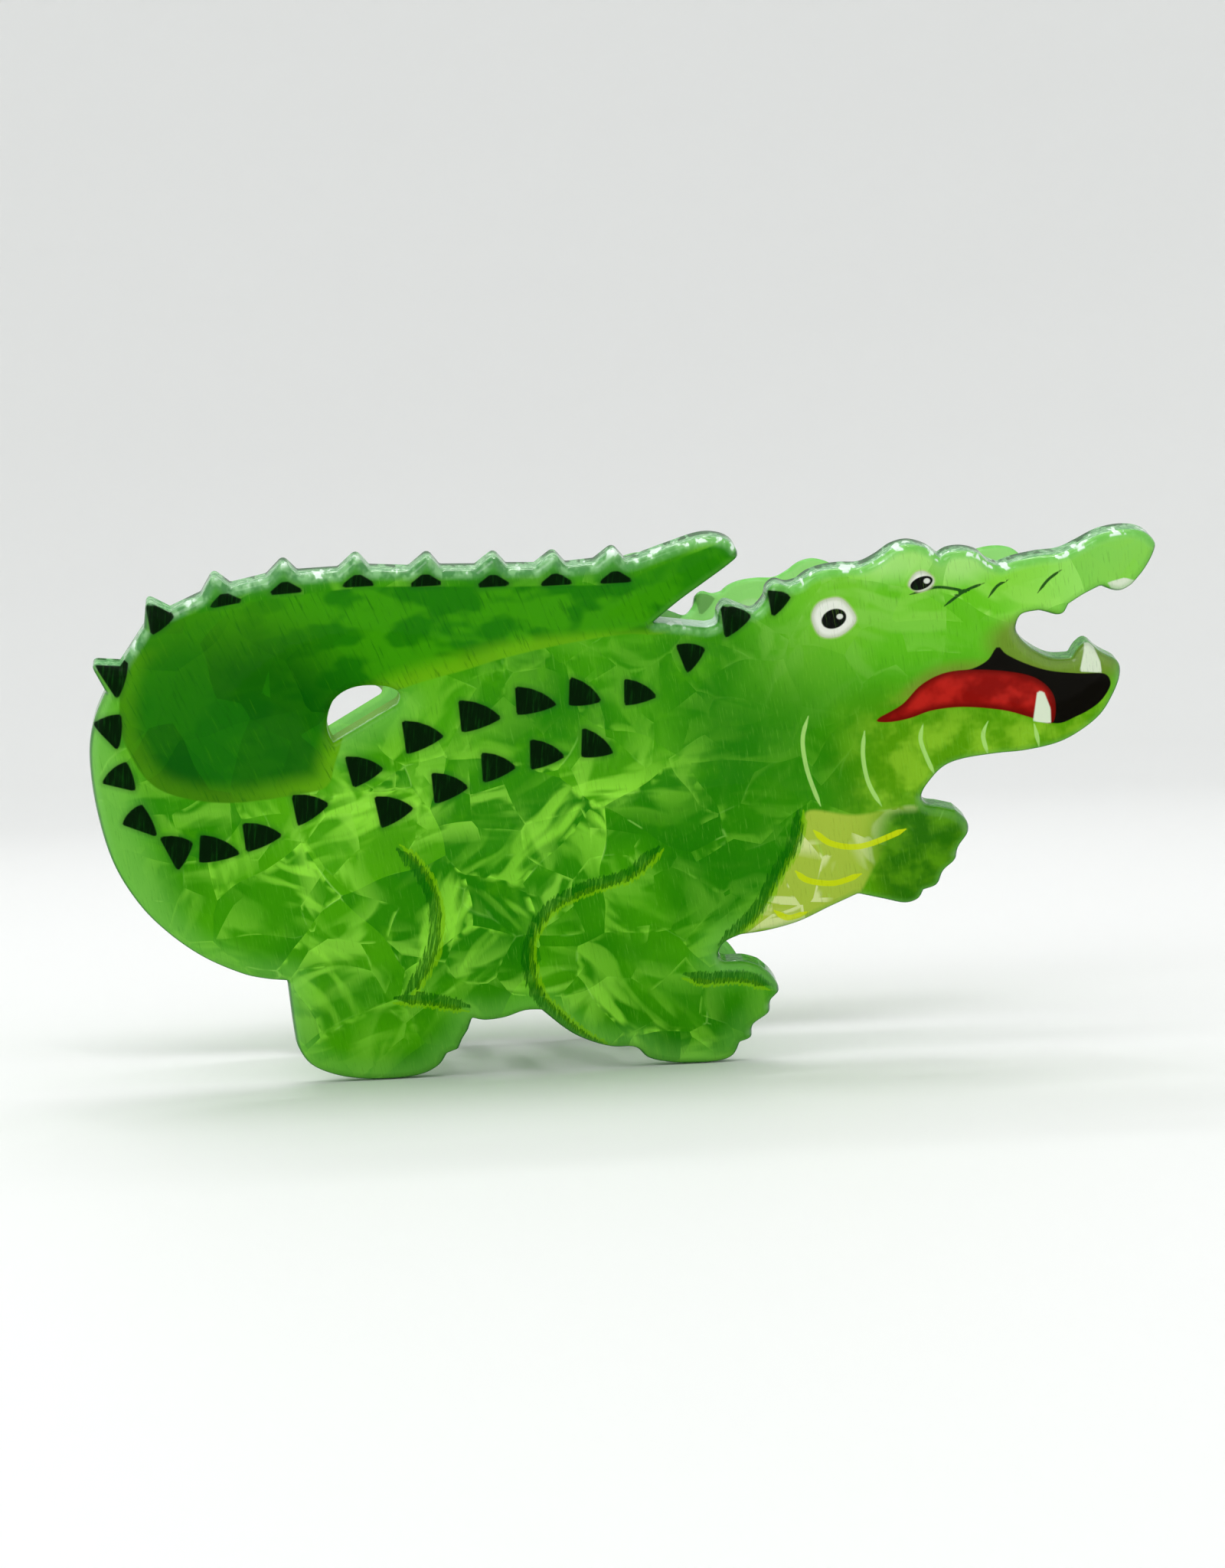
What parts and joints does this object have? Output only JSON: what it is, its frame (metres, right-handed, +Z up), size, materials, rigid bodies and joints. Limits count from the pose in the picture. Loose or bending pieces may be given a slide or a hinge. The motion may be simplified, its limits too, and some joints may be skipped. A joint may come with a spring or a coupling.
{
  "type": "claw hair clip",
  "caption": "Spring-closed claw hair clip with alligator-shaped acetate plates, interlocking curved combs and a cross hinge.",
  "frame": {"origin": "on the floor the clip stands on, at the middle of its length and midway between the two plates", "axes": "+X along the body towards the two heads, -Y out of the front plate, +Z up; the hinge runs along X"},
  "size_m": [0.1, 0.0634, 0.0513],
  "materials": {
    "plate_acetate": "tumble-polished pearl acetate with a printed face",
    "inner_acetate": "polished translucent acetate",
    "pin_steel": "bright plated steel",
    "spring_steel": "bright spring wire"
  },
  "bodies": {
    "front_half": {"front_plate": "plate_acetate", "front_comb": "inner_acetate", "front_knuckle_left": "inner_acetate", "front_knuckle_right": "inner_acetate", "hinge_pin": "pin_steel", "torsion_spring": "spring_steel"},
    "rear_half": {"rear_plate": "plate_acetate", "rear_comb": "inner_acetate", "rear_knuckle_left": "inner_acetate", "rear_knuckle_right": "inner_acetate"}
  },
  "joints": [
    {"name": "clip_hinge", "type": "hinge", "parent": "front_half", "child": "rear_half", "pos_m": [-0.009, 0, 0.0265], "axis": [1, 0, 0], "range_deg": [0, 45], "stiffness_Nm_per_rad": 0.12, "springref_deg": -45.84, "deforming": ["torsion_spring"]}
  ]
}
